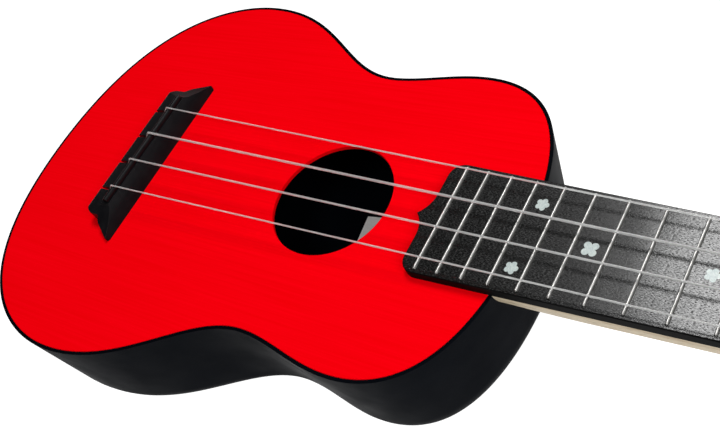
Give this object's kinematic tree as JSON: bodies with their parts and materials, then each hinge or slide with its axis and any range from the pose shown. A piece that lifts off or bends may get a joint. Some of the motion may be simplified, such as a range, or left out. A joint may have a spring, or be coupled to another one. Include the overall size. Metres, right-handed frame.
{
  "type": "soprano ukulele",
  "caption": "Soprano ukulele with a moulded black bowl body, a flat red top, a pale wooden neck, a black fretted board and open-geared tuners that turn.",
  "frame": {"origin": "on the flat back, under the point where the 350 mm scale length ends at the saddle", "axes": "+Z out of the top, +Y along the strings to the headstock, +X to the A-string side"},
  "size_m": [0.1868, 0.5287, 0.0672],
  "materials": {
    "shell_plastic": "fine satin texture, black",
    "red_top": "satin red stain over faint straight grain",
    "spruce": "bare, sawn",
    "neck_wood": "pale, satin",
    "board_black": "stained black, fine lengthwise grain",
    "fret_metal": "polished crowns",
    "pearl": "pearl white",
    "black_plastic": "black, satin",
    "nylon": "clear white nylon",
    "tuner_metal": "nickel plated",
    "gear_brass": "turned",
    "button_plastic": "black, glossy",
    "screw_steel": "zinc plated",
    "paper": "plain blank paper"
  },
  "bodies": {
    "instrument": {"bowl_back": "shell_plastic", "bowl_tail_g": "shell_plastic", "bowl_tail_a": "shell_plastic", "bowl_lower_g": "shell_plastic", "bowl_lower_a": "shell_plastic", "bowl_waist_g": "shell_plastic", "bowl_waist_a": "shell_plastic", "bowl_upper_g": "shell_plastic", "bowl_upper_a": "shell_plastic", "bowl_neck_end": "shell_plastic", "soundboard": "red_top", "brace_upper": "spruce", "brace_lower": "spruce", "bridge_plate": "spruce", "neck_block": "spruce", "label": "paper", "neck": "neck_wood", "neck_screws": "screw_steel", "fretboard": "board_black", "frets": "fret_metal", "inlays": "pearl", "nut": "black_plastic", "headstock_face": "board_black", "bridge": "black_plastic", "saddle": "black_plastic", "string_g": "nylon", "string_c": "nylon", "string_e": "nylon", "string_a": "nylon", "bushings": "tuner_metal", "tuner_screws": "screw_steel", "plate_g": "tuner_metal", "plate_c": "tuner_metal", "plate_e": "tuner_metal", "plate_a": "tuner_metal"},
    "knob_g": {"worm_g": "tuner_metal", "button_g": "button_plastic", "button_screw_g": "screw_steel"},
    "string_post_g": {"post_g": "tuner_metal", "gear_g": "gear_brass", "gear_screw_g": "screw_steel"},
    "knob_c": {"worm_c": "tuner_metal", "button_c": "button_plastic", "button_screw_c": "screw_steel"},
    "string_post_c": {"post_c": "tuner_metal", "gear_c": "gear_brass", "gear_screw_c": "screw_steel"},
    "knob_e": {"worm_e": "tuner_metal", "button_e": "button_plastic", "button_screw_e": "screw_steel"},
    "string_post_e": {"post_e": "tuner_metal", "gear_e": "gear_brass", "gear_screw_e": "screw_steel"},
    "knob_a": {"worm_a": "tuner_metal", "button_a": "button_plastic", "button_screw_a": "screw_steel"},
    "string_post_a": {"post_a": "tuner_metal", "gear_a": "gear_brass", "gear_screw_a": "screw_steel"}
  },
  "joints": [
    {"name": "knob_g_turn", "type": "hinge", "parent": "instrument", "child": "knob_g", "pos_m": [-0.0145, 0.3779, 0.03569], "axis": [1, 0, 0], "continuous": true},
    {"name": "post_g_turn", "type": "hinge", "parent": "instrument", "child": "string_post_g", "pos_m": [-0.0145, 0.38726, 0.04893], "axis": [0, 0.2079, 0.9781], "continuous": true},
    {"name": "knob_c_turn", "type": "hinge", "parent": "instrument", "child": "knob_c", "pos_m": [-0.0145, 0.41702, 0.02737], "axis": [1, 0, 0], "continuous": true},
    {"name": "post_c_turn", "type": "hinge", "parent": "instrument", "child": "string_post_c", "pos_m": [-0.0145, 0.42638, 0.04061], "axis": [0, 0.2079, 0.9781], "continuous": true},
    {"name": "knob_e_turn", "type": "hinge", "parent": "instrument", "child": "knob_e", "pos_m": [0.0145, 0.41702, 0.02737], "axis": [1, 0, 0], "continuous": true},
    {"name": "post_e_turn", "type": "hinge", "parent": "instrument", "child": "string_post_e", "pos_m": [0.0145, 0.42638, 0.04061], "axis": [0, 0.2079, 0.9781], "continuous": true},
    {"name": "knob_a_turn", "type": "hinge", "parent": "instrument", "child": "knob_a", "pos_m": [0.0145, 0.3779, 0.03569], "axis": [1, 0, 0], "continuous": true},
    {"name": "post_a_turn", "type": "hinge", "parent": "instrument", "child": "string_post_a", "pos_m": [0.0145, 0.38726, 0.04893], "axis": [0, 0.2079, 0.9781], "continuous": true}
  ],
  "couplings": [
    {"joint": "post_g_turn", "follows": "knob_g_turn", "ratio": 0.071429},
    {"joint": "post_c_turn", "follows": "knob_c_turn", "ratio": 0.071429},
    {"joint": "post_e_turn", "follows": "knob_e_turn", "ratio": -0.071429},
    {"joint": "post_a_turn", "follows": "knob_a_turn", "ratio": -0.071429}
  ]
}
